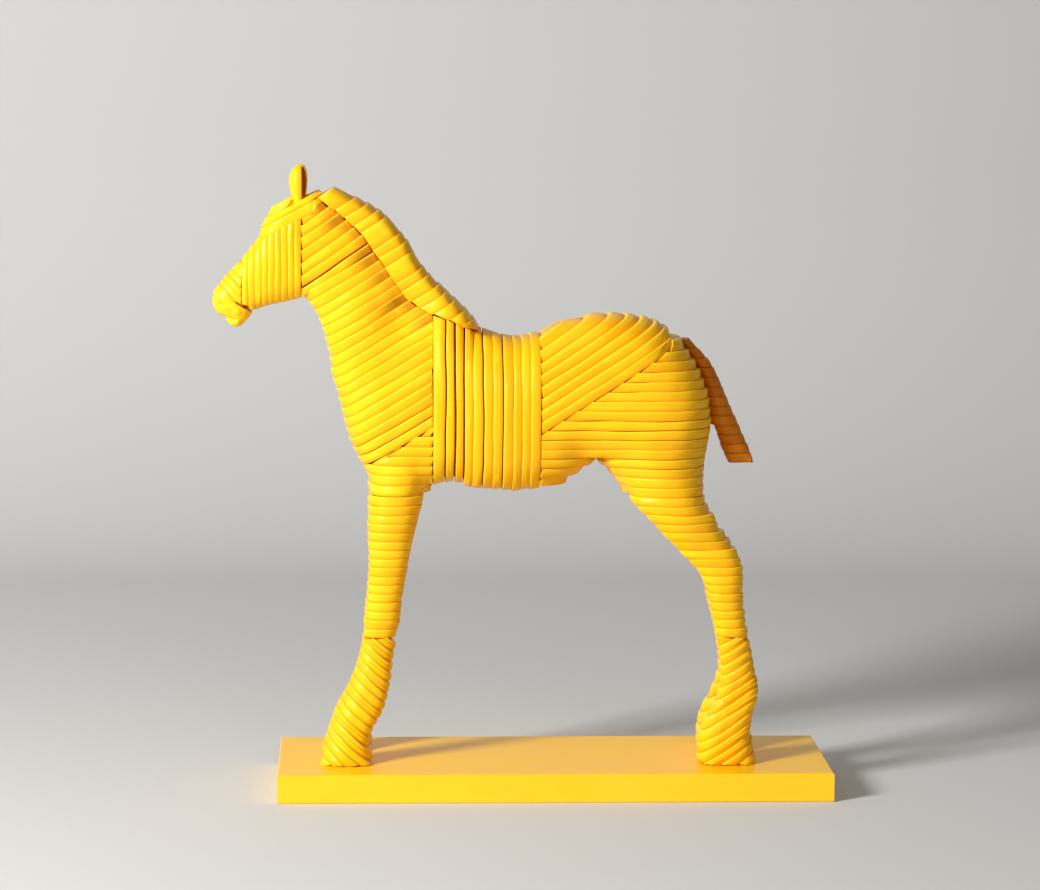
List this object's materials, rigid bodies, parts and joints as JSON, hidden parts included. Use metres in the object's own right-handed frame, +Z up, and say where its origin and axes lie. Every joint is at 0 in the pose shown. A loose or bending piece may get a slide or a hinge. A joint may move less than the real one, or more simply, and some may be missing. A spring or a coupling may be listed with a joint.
{
  "type": "horse figurine",
  "caption": "Ornamental horse clad in flat parallel strips, standing square on a plain rectangular plinth, all in one satin paint.",
  "frame": {"origin": "middle of the plinth's underside", "axes": "+Z up, the horse faces -X, its left side is -Y"},
  "size_m": [0.3132, 0.095, 0.3176],
  "materials": {
    "strip_paint": "satin yellow paint over flat strips",
    "plinth_paint": "satin yellow paint on a plain block",
    "core_wood": "bare, stained by the paint in the gaps between the strips",
    "dowel_wood": "bare beech"
  },
  "bodies": {
    "root": {"plinth": "plinth_paint", "head_core": "core_wood", "neck_core": "core_wood", "trunk_core": "core_wood", "tail_core": "core_wood", "left_foreleg_core": "core_wood", "right_foreleg_core": "core_wood", "left_hindleg_core": "core_wood", "right_hindleg_core": "core_wood", "muzzle": "strip_paint", "left_ear": "strip_paint", "right_ear": "strip_paint", "face_strips": "strip_paint", "nose_strips": "strip_paint", "brow_strips": "strip_paint", "throat_strips": "strip_paint", "neck_strips": "strip_paint", "mane_strips": "strip_paint", "shoulder_strips": "strip_paint", "girth_strips": "strip_paint", "croup_strips": "strip_paint", "haunch_strips": "strip_paint", "tail_strips": "strip_paint", "left_forearm_strips": "strip_paint", "left_forecannon_strips": "strip_paint", "right_forearm_strips": "strip_paint", "right_forecannon_strips": "strip_paint", "left_thigh_strips": "strip_paint", "left_hindcannon_strips": "strip_paint", "right_thigh_strips": "strip_paint", "right_hindcannon_strips": "strip_paint", "foot_dowels": "dowel_wood", "leg_dowels": "dowel_wood", "neck_dowel": "dowel_wood", "head_dowel": "dowel_wood", "muzzle_dowel": "dowel_wood", "tail_dowel": "dowel_wood"}
  },
  "joints": []
}
